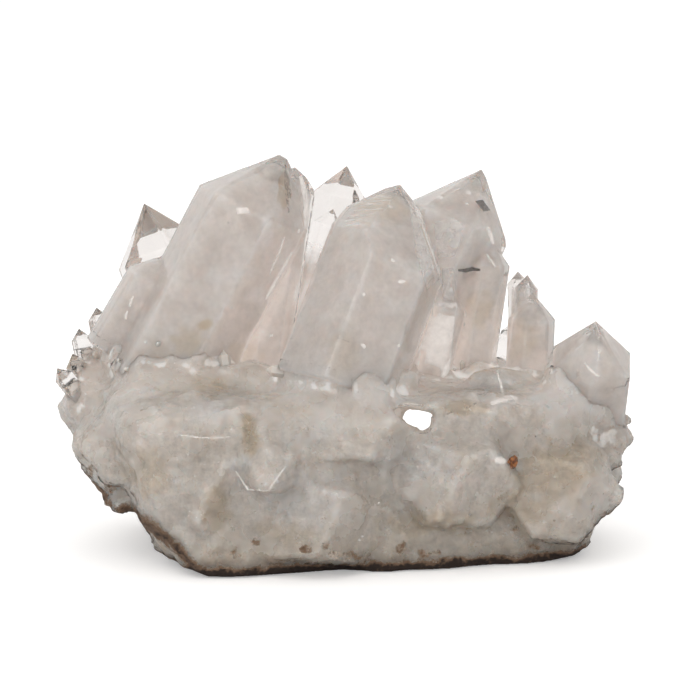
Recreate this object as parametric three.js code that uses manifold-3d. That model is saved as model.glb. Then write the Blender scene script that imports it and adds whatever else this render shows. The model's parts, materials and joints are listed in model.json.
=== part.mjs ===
// Quartz crystal cluster: a matrix of massive milky quartz that carries free-standing crystals.
// Millimetres, +Z up, the front of the cluster faces -Y and it rests on a flat sawn base at z = 0.
import * as THREE from 'three';
import { ConvexGeometry } from 'three/addons/geometries/ConvexGeometry.js';
import { mergeVertices } from 'three/addons/utils/BufferGeometryUtils.js';
import Module from 'manifold-3d';

const wasm = await Module();
wasm.setup();

// ---------------------------------------------------------------- driving dimensions
const FIT_GAP = 0.3;              // clearance between a crystal's foot and its seat
const CAP_SLOPE = 51.8;           // degrees from the long axis to a quartz cap face's normal
const LUMP_FLATS = 14;            // flats on one lump of massive quartz
const LUMP_SEED = 7;
const LUMP_TWIST = 137.5;         // degrees from one flat of a lump to the next
const LUMP_UNEVEN = 0.14;         // how much nearer than its ellipsoid a lump's flat may lie
const SAW_BLOCK = [400, 400, 30]; // what is cut away below the base
const MATRIX_DETAIL = 12;         // how finely the matrix is faceted
const MATRIX_CENTRE = [0, 0, 22]; // the point that the matrix's broken faces are measured from
const MATRIX_ROUNDING = 14;       // higher is sharper where two broken faces meet
const MATRIX_ROUGHNESS = [
  { scale: 19, height: 3.0 },
  { scale: 8.5, height: 1.6 },
];

// The broken faces that bound the matrix: azimuth is measured from the front (-Y) towards +X,
// rise is up from level, both in degrees, and reach is the distance from MATRIX_CENTRE.
const MATRIX_FACES = [
  { azimuth: 10, rise: -3, reach: 35 },    // broad front face
  { azimuth: 4, rise: 46, reach: 40 },     // front shoulder
  { azimuth: 46, rise: 2, reach: 57 },     // front right corner
  { azimuth: 88, rise: -12, reach: 66 },   // right end
  { azimuth: 84, rise: 50, reach: 56 },    // right shoulder
  { azimuth: 128, rise: 4, reach: 54 },    // back right corner
  { azimuth: 176, rise: -8, reach: 36 },   // back
  { azimuth: 178, rise: 50, reach: 34 },   // back shoulder
  { azimuth: -138, rise: 0, reach: 51 },   // back left corner
  { azimuth: -96, rise: 8, reach: 68 },    // left end
  { azimuth: -64, rise: -8, reach: 61 },   // left facet beside the front ridge
  { azimuth: -77, rise: -43, reach: 45 },  // undercut below the left end
  { azimuth: -80, rise: 58, reach: 50 },   // left shoulder
  { azimuth: 0, rise: 90, reach: 19 },     // top
  { azimuth: 0, rise: -90, reach: 24 },    // underside, sawn off at z = 0
];

// Blocky lumps of massive quartz that stand proud of the broken faces: half widths along X, Y, Z.
const LUMPS = [
  { centre: [49, -18, 16], half: [15, 13, 15] },   // right lobe
  { centre: [24, -26, 21], half: [17, 11, 13] },   // front, right of centre
  { centre: [-6, -31, 13], half: [19, 9, 13] },    // front, low
  { centre: [-40, -10, 37], half: [17, 15, 10] },  // lip below the left crystal
  { centre: [0, -27, 33], half: [19, 13, 10] },    // lip below the centre crystal
  { centre: [-31, -29, 22], half: [13, 12, 15] },  // front ridge
  { centre: [-50, -14, 26], half: [14, 15, 12] },  // left facet
  { centre: [-57, 4, 34], half: [12, 13, 9] },     // left shoulder
  { centre: [54, 0, 18], half: [10, 16, 16] },     // right end
  { centre: [22, 27, 13], half: [19, 12, 13] },    // back, right
  { centre: [-22, 27, 19], half: [20, 13, 14] },   // back, left
  { centre: [50, 16, 21], half: [15, 14, 12] },    // back right corner
  { centre: [-50, 16, 27], half: [15, 14, 12] },   // back left corner
];

// The gap that runs right through under the centre crystal, as an outline at the front and the
// same outline, WINDOW_FLARE times wider, where it comes out at the back.
const WINDOW_OUTLINE = [[-5.2, 2.2], [5.2, 1], [4.1, -1.6], [3, -3.2], [1.2, -3.1], [-3.9, -0.4]];
const WINDOW_FRONT = { x: 16.1, y: -42, z: 38.4 };
const WINDOW_BACK = { x: 18.4, y: 50, z: 22.4 };
const WINDOW_FLARE = 1.7;

// One crystal: tip is where its cap faces meet; lean tilts it towards +X and back away from the
// front; turn spins it about its long axis; radius is from the axis to a side face. Sides scales
// that for single faces and caps moves single cap faces out, both by face number from the turn,
// and chips are further flats; cap and chip reaches are in radii from the tip.
const CRYSTALS = {
  main_left_crystal: [
    {
      tip: [-15.3, 2, 94.9], lean: 28, back: 6, turn: -10, radius: 12.1, length: 64,
      sides: { 1: 1.08, 2: 1.08 }, caps: { 1: 0.12, 2: 0.2 },
    },
    { tip: [-43.5, 1, 70.5], lean: 31, back: 2, turn: -12, radius: 5.2, length: 27 },
    {
      tip: [-11.6, 7, 92], lean: 9, back: 4, turn: 6, radius: 5.2, length: 50,
      caps: { 0: -0.1, 1: 0.2 },
    },
  ],
  centre_crystal: [
    {
      tip: [15.8, -6, 86.6], lean: 21.5, back: 18, turn: 15, radius: 13.6, length: 52,
      sides: { 4: 0.94, 5: 0.92 }, caps: { 0: -0.14, 2: 0.1, 3: 0.3, 4: 0.36, 5: 0.05 },
      chips: [{ azimuth: -30, rise: 66, reach: 0.06 }],
    },
  ],
  right_crystal: [
    {
      tip: [34.5, 18.5, 90.3], lean: 25, back: 8, turn: -13, radius: 11.9, length: 56,
      caps: { 1: 0.08 },
    },
    { tip: [36.6, 11, 73.8], lean: 8, back: 2, turn: 12, radius: 5, length: 40 },
    { tip: [26.6, 3, 63], lean: 15, back: 2, turn: 4, radius: 4.6, length: 28 },
    { tip: [27.4, 5, 69.8], lean: 12, back: 2, turn: 20, radius: 2.6, length: 32 },
  ],
  back_centre_crystal: [
    { tip: [1, 25, 90.8], lean: 12, back: 4, turn: 14, radius: 6.1, length: 58 },
    { tip: [-2.4, 16, 80.6], lean: 17, back: 4, turn: 0, radius: 3.4, length: 46 },
  ],
  back_left_crystal: [
    {
      tip: [-50.1, 24.5, 81.4], lean: -19, back: 4, turn: -15, radius: 9.8, length: 50,
      sides: { 4: 1.1, 5: 1.1 },
    },
  ],
  far_right_crystal: [
    {
      tip: [59.7, -17, 56.8], lean: 2, back: -26, turn: 24, radius: 9.2, length: 30,
      caps: { 0: 0.1 },
    },
  ],
  right_shoulder_crystal: [
    { tip: [46.6, 6, 60.9], lean: 2, back: 0, turn: 10, radius: 5.2, length: 34 },
    { tip: [45.6, 11, 64.8], lean: 4, back: 2, turn: 20, radius: 2.9, length: 32 },
    { tip: [43.6, 16, 65.1], lean: -2, back: 5, turn: 0, radius: 2.4, length: 32 },
  ],
  left_point_1: [
    { tip: [-61, 11, 56.6], lean: -10, back: 0, turn: 10, radius: 2.3, length: 22 },
  ],
  left_point_2: [
    { tip: [-65, 7, 51.9], lean: -12, back: 0, turn: 0, radius: 2.2, length: 18 },
  ],
  left_point_3: [
    { tip: [-65.8, 0, 46.7], lean: -16, back: -8, turn: 20, radius: 2.3, length: 13 },
  ],
  left_point_4: [
    { tip: [-68.6, -8, 44.2], lean: -35, back: -14, turn: 0, radius: 2.1, length: 12 },
  ],
  back_crystal_1: [
    { tip: [-21, 45, 60], lean: -4, back: 28, turn: 12, radius: 4.8, length: 30 },
  ],
  back_crystal_2: [
    { tip: [14, 44, 62], lean: 2, back: 20, turn: 25, radius: 6.2, length: 34 },
    { tip: [21, 42, 52], lean: 14, back: 26, turn: 5, radius: 3.2, length: 24 },
  ],
  back_crystal_3: [
    { tip: [48, 36, 52], lean: 16, back: 24, turn: 8, radius: 5.2, length: 28 },
  ],
  back_crystal_4: [
    { tip: [-60, 39, 52], lean: -26, back: 30, turn: 20, radius: 4.2, length: 26 },
  ],
  back_crystal_5: [
    { tip: [-5, 46, 44], lean: -2, back: 42, turn: 5, radius: 3.9, length: 24 },
  ],
  back_crystal_6: [
    { tip: [61, 24, 45], lean: 18, back: 26, turn: 16, radius: 4, length: 22 },
  ],
};

// Stubby crystals that are part of the matrix.
const STUBS = [
  { tip: [-17.5, -48, 22.4], lean: 10, back: -112, turn: 20, radius: 6.3, length: 24 },
  { tip: [-30, -42, 37.5], lean: -34, back: -48, turn: 10, radius: 3.2, length: 16 },
  { tip: [-38, -37, 38.5], lean: -42, back: -40, turn: 25, radius: 3, length: 16 },
  { tip: [-46, -29, 40], lean: -46, back: -30, turn: 0, radius: 3.5, length: 16 },
  { tip: [-25, -41, 41], lean: -16, back: -48, turn: 15, radius: 2.7, length: 16 },
  { tip: [-36, -33, 44], lean: -28, back: -28, turn: 30, radius: 2.8, length: 16 },
  { tip: [38.5, -27, 38.5], lean: 40, back: -40, turn: 10, radius: 3.1, length: 16 },
  { tip: [31, -26, 43], lean: 10, back: -30, turn: 20, radius: 4.2, length: 18 },
];

const MATERIALS = {
  quartz: new THREE.MeshStandardMaterial({
    color: 0xcbbfb9, roughness: 0.2, metalness: 0,
  }),
  matrix: new THREE.MeshStandardMaterial({
    color: 0xb9ab9c, roughness: 0.6, metalness: 0,
  }),
};

// ---------------------------------------------------------------- planes and solids
const radians = THREE.MathUtils.degToRad;

/** A direction from an azimuth off the front and a rise off level. */
function direction(azimuth, rise) {
  const level = Math.cos(radians(rise));
  return new THREE.Vector3(
    Math.sin(radians(azimuth)) * level,
    -Math.cos(radians(azimuth)) * level,
    Math.sin(radians(rise)),
  );
}

/** Corners of the convex solid behind all the planes, each a unit normal and a constant. */
function cornersOf(planes) {
  const corners = [];
  const solve = new THREE.Matrix3();
  const inside = (p) => planes.every((f) => f.normal.dot(p) <= f.reach + 1e-6);
  const known = (p) => corners.some((c) => c.distanceTo(p) < 1e-4);
  for (let i = 0; i < planes.length; i++) {
    for (let j = i + 1; j < planes.length; j++) {
      for (let k = j + 1; k < planes.length; k++) {
        const [a, b, c] = [planes[i], planes[j], planes[k]];
        solve.set(...a.normal, ...b.normal, ...c.normal);
        if (Math.abs(solve.determinant()) < 1e-6) continue;
        const p = new THREE.Vector3(a.reach, b.reach, c.reach).applyMatrix3(solve.invert());
        if (inside(p) && !known(p)) corners.push(p);
      }
    }
  }
  return corners;
}

/** A manifold solid from any closed three.js geometry. */
function solidFrom(geometry) {
  const bare = geometry.clone();
  bare.deleteAttribute('normal');
  bare.deleteAttribute('uv');
  const merged = mergeVertices(bare, 1e-4);
  return new wasm.Manifold(new wasm.Mesh({
    numProp: 3,
    vertProperties: new Float32Array(merged.attributes.position.array),
    triVerts: new Uint32Array(merged.index.array),
  }));
}

function geometryFrom(solid) {
  const mesh = solid.getMesh();
  const geometry = new THREE.BufferGeometry();
  geometry.setAttribute('position', new THREE.BufferAttribute(mesh.vertProperties, 3));
  geometry.setIndex(new THREE.BufferAttribute(mesh.triVerts, 1));
  return geometry;
}

/** One quartz crystal, six sides and six cap faces, every face moved out by grow. */
function crystal(spec, grow = 0) {
  const { tip, lean, back, turn, radius, length, sides = {}, caps = {}, chips = [] } = spec;
  const axis = new THREE.Vector3(
    Math.sin(radians(lean)) * Math.cos(radians(back)),
    Math.sin(radians(back)),
    Math.cos(radians(lean)) * Math.cos(radians(back)),
  );
  const stand = new THREE.Quaternion().setFromUnitVectors(new THREE.Vector3(0, 0, 1), axis);
  const planes = [{ normal: new THREE.Vector3(0, 0, -1), reach: length + grow }];
  for (let i = 0; i < 6; i++) {
    const azimuth = turn + 60 * i;
    planes.push({ normal: direction(azimuth, 0), reach: radius * (sides[i] ?? 1) + grow });
    planes.push({
      normal: direction(azimuth, 90 - CAP_SLOPE), reach: radius * (caps[i] ?? 0) + grow,
    });
  }
  for (const { azimuth, rise, reach } of chips) {
    planes.push({ normal: direction(azimuth, rise), reach: radius * reach + grow });
  }
  const corners = cornersOf(planes);
  for (const p of corners) p.applyQuaternion(stand).add(new THREE.Vector3(...tip));
  return solidFrom(new ConvexGeometry(corners));
}

const join = (solids) => solids.reduce((all, one) => all.add(one));

// ---------------------------------------------------------------- matrix
/** A repeatable stream of numbers from 0 to 1. */
function seededRandom(seed) {
  let state = seed;
  return () => {
    state = (state * 1664525 + 1013904223) % 4294967296;
    return state / 4294967296;
  };
}

/** Repeatable value noise, about -1 to 1, that changes over one unit. */
function noise(x, y, z) {
  const lattice = (i, j, k) => {
    const n = Math.sin(i * 127.1 + j * 311.7 + k * 74.7) * 43758.5453;
    return 2 * (n - Math.floor(n)) - 1;
  };
  const [i, j, k] = [Math.floor(x), Math.floor(y), Math.floor(z)];
  const [u, v, w] = [x - i, y - j, z - k].map((t) => t * t * (3 - 2 * t));
  const along = (dj, dk) => THREE.MathUtils.lerp(
    lattice(i, j + dj, k + dk), lattice(i + 1, j + dj, k + dk), u,
  );
  return THREE.MathUtils.lerp(
    THREE.MathUtils.lerp(along(0, 0), along(1, 0), v),
    THREE.MathUtils.lerp(along(0, 1), along(1, 1), v),
    w,
  );
}

/** The matrix before seats are cut: broken faces met softly, roughened, then sawn flat. */
function massiveQuartz() {
  const faces = MATRIX_FACES.map(({ azimuth, rise, reach }) => ({
    normal: direction(azimuth, rise), reach,
  }));
  const centre = new THREE.Vector3(...MATRIX_CENTRE);
  const geometry = new THREE.IcosahedronGeometry(1, MATRIX_DETAIL);
  const points = geometry.attributes.position;
  const p = new THREE.Vector3();
  for (let i = 0; i < points.count; i++) {
    p.fromBufferAttribute(points, i).normalize();
    let sum = 0;
    for (const { normal, reach } of faces) {
      const facing = Math.max(normal.dot(p), 0) / reach;
      sum += facing ** MATRIX_ROUNDING;
    }
    let distance = sum ** (-1 / MATRIX_ROUNDING);
    for (const { scale, height } of MATRIX_ROUGHNESS) {
      const s = distance / scale;
      distance += height * noise(p.x * s, p.y * s, p.z * s);
    }
    p.multiplyScalar(distance).add(centre);
    points.setXYZ(i, p.x, p.y, p.z);
  }
  return solidFrom(geometry);
}

/** Everything below the flat base. */
function sawnOff() {
  const block = new THREE.BoxGeometry(...SAW_BLOCK);
  block.translate(0, 0, -SAW_BLOCK[2] / 2);
  return solidFrom(block);
}

/** A blocky convex lump: random flats that touch an ellipsoid. */
function lump({ centre, half }, random) {
  const planes = [];
  for (let i = 0; i < LUMP_FLATS; i++) {
    const rise = Math.asin(1 - (2 * i + 1) / LUMP_FLATS);
    const azimuth = i * LUMP_TWIST + 25 * random();
    const normal = direction(azimuth, THREE.MathUtils.radToDeg(rise));
    const reach = normal.clone().multiply(new THREE.Vector3(...half)).length();
    planes.push({ normal, reach: reach * (1 - LUMP_UNEVEN * random()) });
  }
  const corners = cornersOf(planes);
  for (const p of corners) p.add(new THREE.Vector3(...centre));
  return solidFrom(new ConvexGeometry(corners));
}

/** The gap under the centre crystal as a solid to cut away. */
function windowCut() {
  const ring = ({ x, y, z }, scale) => WINDOW_OUTLINE.map(
    ([dx, dz]) => new THREE.Vector3(x + dx * scale, y, z + dz * scale),
  );
  return solidFrom(new ConvexGeometry([
    ...ring(WINDOW_FRONT, 1), ...ring(WINDOW_BACK, WINDOW_FLARE),
  ]));
}

// ---------------------------------------------------------------- assembly
const cluster = new THREE.Group();

function addPiece(name, solid, material) {
  const mesh = new THREE.Mesh(geometryFrom(solid), material);
  mesh.name = name;
  cluster.add(mesh);
}

const random = seededRandom(LUMP_SEED);
let matrix = join([
  massiveQuartz(),
  ...LUMPS.map((spec) => lump(spec, random)),
  ...STUBS.map((spec) => crystal(spec)),
]);
matrix = matrix.subtract(sawnOff()).subtract(windowCut());
for (const [name, specs] of Object.entries(CRYSTALS)) {
  addPiece(name, join(specs.map((spec) => crystal(spec))), MATERIALS.quartz);
  matrix = matrix.subtract(join(specs.map((spec) => crystal(spec, FIT_GAP))));
}
addPiece('matrix', matrix, MATERIALS.matrix);

// The origin is under the middle of the whole cluster, on the sawn base.
const box = new THREE.Box3().setFromObject(cluster);
const middle = box.getCenter(new THREE.Vector3());
cluster.position.set(-middle.x, -middle.y, -box.min.z);

export default cluster;
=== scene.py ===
import json
import math

import bmesh
import bpy
import numpy as np
from mathutils import Matrix, Vector, noise
from mathutils.bvhtree import BVHTree


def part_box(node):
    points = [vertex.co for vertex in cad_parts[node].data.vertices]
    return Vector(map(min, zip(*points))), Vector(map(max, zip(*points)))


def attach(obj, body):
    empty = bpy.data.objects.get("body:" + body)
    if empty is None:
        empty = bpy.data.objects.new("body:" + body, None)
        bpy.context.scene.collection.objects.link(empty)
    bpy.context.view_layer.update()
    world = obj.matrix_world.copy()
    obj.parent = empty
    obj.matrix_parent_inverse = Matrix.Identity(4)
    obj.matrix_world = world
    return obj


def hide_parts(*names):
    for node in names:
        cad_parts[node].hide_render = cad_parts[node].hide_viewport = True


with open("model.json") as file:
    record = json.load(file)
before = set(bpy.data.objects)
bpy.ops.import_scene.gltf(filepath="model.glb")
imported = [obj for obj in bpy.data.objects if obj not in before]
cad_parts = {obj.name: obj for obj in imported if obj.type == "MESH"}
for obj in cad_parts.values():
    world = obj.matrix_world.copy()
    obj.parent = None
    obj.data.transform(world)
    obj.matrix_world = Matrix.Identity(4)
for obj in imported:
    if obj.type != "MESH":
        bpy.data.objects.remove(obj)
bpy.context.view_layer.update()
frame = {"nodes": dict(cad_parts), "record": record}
mm = 0.001
crystalNodes = sorted(name for name in frame["nodes"] if name != "matrix")
slotOf = {part["node"]: part["material_slot"] for part in frame["record"]["subparts"]}


# camera, floor and light
cameraSetup = {
    "target": (2.3 * mm, 0.0, 47.5 * mm),
    "distance": 568 * mm,
    "elevation": 8.0,
    "lens": 120.0,
    "sensor": 36.0,
}

studio = {
    "floorDrop": 0.2 * mm,       # the floor lies just under the sawn base
    "floorSize": 8.0,
    "floorColour": (0.95, 0.948, 0.945, 1),
    "floorLift": 0.3,            # so that the floor looks as white as the backdrop
    "white": (1.0, 1.0, 1.0, 1),
    "whiteStrength": 1.06,
    "room": (1.0, 0.985, 0.97, 1),
    # soft light by direction: aim, cosine where it starts and is full, strength outside and inside
    "lobes": [
        ((0, -1, 0.45), 0.45, 0.95, 0.08, 1.03),      # big soft box behind the camera
        ((-0.5, -0.1, 1), 0.2, 0.9, 0.0, 0.2),       # and one overhead, to the left
        ((0, 1, 0.1), -0.2, 0.7, 0.36, 0.86),         # the white backdrop
    ],
    "key": {"place": (-0.6, -0.5, 0.8), "aim": (0, 0, 0.04), "side": 0.6, "power": 1.5},
    "bounces": {"max_bounces": 10, "diffuse_bounces": 3, "glossy_bounces": 4,
                "transmission_bounces": 8, "transparent_max_bounces": 8},
}


def makeCamera(setup):
    data = bpy.data.cameras.new("camera")
    data.lens = setup["lens"]
    data.sensor_width = setup["sensor"]
    data.clip_start = 0.01
    data.clip_end = 50
    camera = addObject("camera", data)
    rise = math.radians(setup["elevation"])
    target = Vector(setup["target"])
    away = Vector((0, -math.cos(rise), math.sin(rise)))
    camera.location = target + away * setup["distance"]
    camera.rotation_euler = (target - camera.location).to_track_quat("-Z", "Y").to_euler()
    bpy.context.scene.camera = camera


def makeKeyLight(setup):
    data = bpy.data.lights.new("key", "AREA")
    data.size = setup["side"]
    data.energy = setup["power"]
    light = addObject("key", data)
    light.location = setup["place"]
    aim = Vector(setup["aim"]) - light.location
    light.rotation_euler = aim.to_track_quat("-Z", "Y").to_euler()


def makeFloor():
    half = studio["floorSize"]
    z = -studio["floorDrop"]
    mesh = bpy.data.meshes.new("floor")
    corners = [(-half, -half, z), (half, -half, z), (half, half, z), (-half, half, z)]
    mesh.from_pydata(corners, [], [(0, 1, 2, 3)])
    floor = addObject("floor", mesh)
    material = bpy.data.materials.new("paleFloor")
    material.use_nodes = True
    shader = material.node_tree.nodes["Principled BSDF"]
    shader.inputs["Base Color"].default_value = studio["floorColour"]
    shader.inputs["Roughness"].default_value = 0.9
    shader.inputs["Specular IOR Level"].default_value = 0.1
    shader.inputs["Emission Color"].default_value = (1, 1, 1, 1)
    path = addNode(material.node_tree, "ShaderNodeLightPath")
    lift = addNode(material.node_tree, "ShaderNodeMath", {"operation": "MULTIPLY"})
    lift.inputs[1].default_value = studio["floorLift"]
    material.node_tree.links.new(path.outputs["Is Camera Ray"], lift.inputs[0])
    material.node_tree.links.new(lift.outputs[0], shader.inputs["Emission Strength"])
    mesh.materials.append(material)


def makeWorld():
    world = bpy.data.worlds.new("studio")
    bpy.context.scene.world = world
    world.use_nodes = True
    tree = world.node_tree
    links = tree.links
    tree.nodes.clear()
    coords = addNode(tree, "ShaderNodeTexCoord")
    total = None
    for aim, start, full, low, high in studio["lobes"]:
        lobe = addNode(tree, "ShaderNodeVectorMath", {"operation": "DOT_PRODUCT"})
        lobe.inputs[1].default_value = Vector(aim).normalized()
        links.new(coords.outputs["Generated"], lobe.inputs[0])
        soft = addNode(tree, "ShaderNodeMapRange", {"interpolation_type": "SMOOTHSTEP"},
                       From_Min=start, From_Max=full, To_Min=low, To_Max=high)
        links.new(lobe.outputs["Value"], soft.inputs["Value"])
        if total is None:
            total = soft
            continue
        join = addNode(tree, "ShaderNodeMath", {"operation": "ADD"})
        links.new(total.outputs[0], join.inputs[0])
        links.new(soft.outputs[0], join.inputs[1])
        total = join
    room = addNode(tree, "ShaderNodeBackground", Color=studio["room"])
    links.new(total.outputs[0], room.inputs["Strength"])
    plain = addNode(tree, "ShaderNodeBackground", Color=studio["white"], Strength=studio["whiteStrength"])
    path = addNode(tree, "ShaderNodeLightPath")
    mix = addNode(tree, "ShaderNodeMixShader")
    out = addNode(tree, "ShaderNodeOutputWorld")
    links.new(path.outputs["Is Camera Ray"], mix.inputs["Fac"])
    links.new(room.outputs[0], mix.inputs[1])
    links.new(plain.outputs[0], mix.inputs[2])
    links.new(mix.outputs[0], out.inputs["Surface"])


def makeStudio():
    makeFloor()
    makeWorld()
    makeKeyLight(studio["key"])
    scene = bpy.context.scene
    scene.view_settings.view_transform = "Standard"
    scene.view_settings.look = "None"
    for name, count in studio["bounces"].items():
        setattr(scene.cycles, name, count)


# mesh tools
def addObject(name, data):
    made = bpy.data.objects.new(name, data)
    bpy.context.scene.collection.objects.link(made)
    return made


def toMesh(bm, name):
    mesh = bpy.data.meshes.new(name)
    bm.to_mesh(mesh)
    bm.free()
    return mesh


def outwardMesh(bm, name):
    bmesh.ops.recalc_face_normals(bm, faces=bm.faces)
    return toMesh(bm, name)


def moveInto(bm, mesh):
    bm.from_mesh(mesh)
    bpy.data.meshes.remove(mesh)


def mergedShape(node):
    # a CAD node's shape with its corners merged
    bm = bmesh.new()
    bm.from_mesh(frame["nodes"][node].data)
    bmesh.ops.remove_doubles(bm, verts=bm.verts, dist=1e-6)
    return bm


def bake(piece):
    # the evaluated mesh takes the place of the piece's own, and no modifier is left
    depsgraph = bpy.context.evaluated_depsgraph_get()
    mesh = bpy.data.meshes.new_from_object(piece.evaluated_get(depsgraph))
    piece.modifiers.clear()
    old = piece.data
    piece.data = mesh
    bpy.data.meshes.remove(old)
    return piece


def bakedWith(piece, kind, **settings):
    modifier = piece.modifiers.new("shape", kind)
    for key, value in settings.items():
        setattr(modifier, key, value)
    bake(piece)


def sharpRemesh(piece, depth):
    bakedWith(piece, "REMESH", mode="SHARP", octree_depth=depth, scale=0.95, use_remove_disconnected=False)


def voxelRemesh(piece, size):
    bakedWith(piece, "REMESH", mode="VOXEL", voxel_size=size)


def smooth(piece, times):
    bakedWith(piece, "SMOOTH", factor=0.5, iterations=times)


def readVectors(mesh, kind):
    flat = np.empty(len(mesh.vertices) * 3, np.float32)
    mesh.vertices.foreach_get(kind, flat)
    return flat.reshape(-1, 3).astype(float)


def readPoints(mesh):
    return readVectors(mesh, "co")


def readNormals(mesh):
    return readVectors(mesh, "normal")


def readEdges(mesh):
    flat = np.empty(len(mesh.edges) * 2, np.int32)
    mesh.edges.foreach_get("vertices", flat)
    return flat.reshape(-1, 2)


def writePoints(mesh, points):
    mesh.vertices.foreach_set("co", points.astype(np.float32).ravel())
    mesh.update()


def writeMask(mesh, name, values):
    layer = mesh.attributes.get(name) or mesh.attributes.new(name, "FLOAT", "POINT")
    layer.data.foreach_set("value", values.astype(np.float32))


def noiseAt(points, size, seed):
    # smooth noise of about -1 to 1 with features of that size
    shift = Vector((seed * 7.31, seed * 3.17, seed * 5.93))
    return np.array([noise.noise(Vector(p) / size + shift) for p in points])


def ramp(values, low, high):
    t = np.clip((values - low) / (high - low), 0, 1)
    return t * t * (3 - 2 * t)


def axisOf(node):
    # a crystal's long axis: the faces of a prism all stand square to it
    spread = np.zeros((3, 3))
    for face in frame["nodes"][node].data.polygons:
        n = np.array(face.normal)
        spread += face.area * np.outer(n, n)
    values, vectors = np.linalg.eigh(spread)
    axis = vectors[:, 0]
    return axis if axis[2] > 0 else -axis


def treeOf(*pieces):
    # the pieces' faces, for rays and distances
    bm = bmesh.new()
    for piece in pieces:
        bm.from_mesh(piece.data)
    tree = BVHTree.FromBMesh(bm)
    bm.free()
    return tree


def distances(tree, points, limit):
    # distance to the nearest face, and that face's normal
    far = np.full(len(points), limit)
    facing = np.zeros((len(points), 3))
    for i, p in enumerate(points):
        place, normal, face, distance = tree.find_nearest(Vector(p), limit)
        if place is not None:
            far[i] = distance
            facing[i] = normal
    return far, facing


# rays that measure how sheltered a point is, for the painted glow
glowSetup = {
    "rays": 12,
    "turn": 2.39996,             # from one ray to the next, so that they fan out evenly
    "lowest": 0.15,              # cosine of the ray nearest the surface
    "reach": 45 * mm,
    "clearance": 1.2 * mm,
}


def shelter(points, normals, tree):
    # how much of the open room each point can't see, from 0 to 1
    count = glowSetup["rays"]
    turns = np.arange(count) * glowSetup["turn"]
    heights = 1 - (np.arange(count) + 0.5) / count * (1 - glowSetup["lowest"])
    rings = np.sqrt(1 - heights ** 2)
    fan = np.stack([rings * np.cos(turns), rings * np.sin(turns), heights], axis=1)
    hidden = np.zeros(len(points))
    for i, (p, n) in enumerate(zip(points, normals)):
        turn = Vector(n).to_track_quat("Z", "Y").to_matrix()
        start = Vector(p + n * glowSetup["clearance"])
        for ray in fan:
            if tree.ray_cast(start, turn @ Vector(ray), glowSetup["reach"])[0] is not None:
                hidden[i] += 1
    return hidden / count


def seenFromFront(tree, x, z):
    # the place on a surface, and its normal, that shows at (x, z) of the plane y = 0 from the camera
    eye = bpy.context.scene.camera.location
    ray = Vector((x * mm, 0, z * mm)) - eye
    return tree.ray_cast(eye, ray.normalized())[:2]


def seenAs(points):
    # where points show on the plane y = 0 from the camera, as (x, z) in mm
    eye = np.array(bpy.context.scene.camera.location)
    share = -eye[1] / (points[:, 1] - eye[1])
    return (eye + (points - eye) * share[:, None])[:, [0, 2]] / mm


def blots(seen, spots, seed):
    # soft uneven spots: centre, half width and height in mm, and strength
    total = np.zeros(len(seen))
    ragged = noiseAt(np.column_stack([seen, np.zeros(len(seen))]), 2.5, seed) * 0.5
    for x, z, wide, high, strength in spots:
        out = np.hypot((seen[:, 0] - x) / wide, (seen[:, 1] - z) / high) + ragged
        total = np.maximum(total, strength * (1 - ramp(out, 0.5, 1.15)))
    return total


def gapTo(line, seen):
    # how far each place of that view is from a line of points, in mm
    nearest = np.full(len(seen), 1e3)
    for start, end in zip(line, line[1:]):
        start, run = np.array(start), np.subtract(end, start)
        share = np.clip((seen - start) @ run / (run @ run), 0, 1)
        nearest = np.minimum(nearest, np.linalg.norm(seen - start - share[:, None] * run, axis=1))
    return nearest


# materials
def newMaterial(name):
    material = bpy.data.materials.new(name)
    material.use_nodes = True
    tree = material.node_tree
    return material, tree, tree.nodes["Principled BSDF"]


def addNode(tree, kind, settings=None, **values):
    node = tree.nodes.new(kind)
    for key, value in (settings or {}).items():
        setattr(node, key, value)
    for key, value in values.items():
        node.inputs[key.replace("_", " ")].default_value = value
    return node


def facetGroup():
    # a bump of small flat breaks, each with its own tilt, as a height in metres
    tree = bpy.data.node_groups.new("facetHeight", "ShaderNodeTree")
    tree.interface.new_socket("Vector", in_out="INPUT", socket_type="NodeSocketVector")
    tree.interface.new_socket("Scale", in_out="INPUT", socket_type="NodeSocketFloat")
    tree.interface.new_socket("Steepness", in_out="INPUT", socket_type="NodeSocketFloat")
    tree.interface.new_socket("Height", in_out="OUTPUT", socket_type="NodeSocketFloat")
    links = tree.links
    given = tree.nodes.new("NodeGroupInput").outputs
    cells = addNode(tree, "ShaderNodeTexVoronoi", Randomness=1.0)
    links.new(given["Vector"], cells.inputs["Vector"])
    links.new(given["Scale"], cells.inputs["Scale"])
    away = addNode(tree, "ShaderNodeVectorMath", {"operation": "SUBTRACT"})
    links.new(given["Vector"], away.inputs[0])
    links.new(cells.outputs["Position"], away.inputs[1])
    tilt = addNode(tree, "ShaderNodeVectorMath", {"operation": "SUBTRACT"})
    links.new(cells.outputs["Color"], tilt.inputs[0])
    tilt.inputs[1].default_value = (0.5, 0.5, 0.5)
    slope = addNode(tree, "ShaderNodeVectorMath", {"operation": "DOT_PRODUCT"})
    links.new(away.outputs["Vector"], slope.inputs[0])
    links.new(tilt.outputs["Vector"], slope.inputs[1])
    height = addNode(tree, "ShaderNodeMath", {"operation": "MULTIPLY"})
    links.new(slope.outputs["Value"], height.inputs[0])
    links.new(given["Steepness"], height.inputs[1])
    out = tree.nodes.new("NodeGroupOutput")
    links.new(height.outputs[0], out.inputs[0])
    return tree


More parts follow.
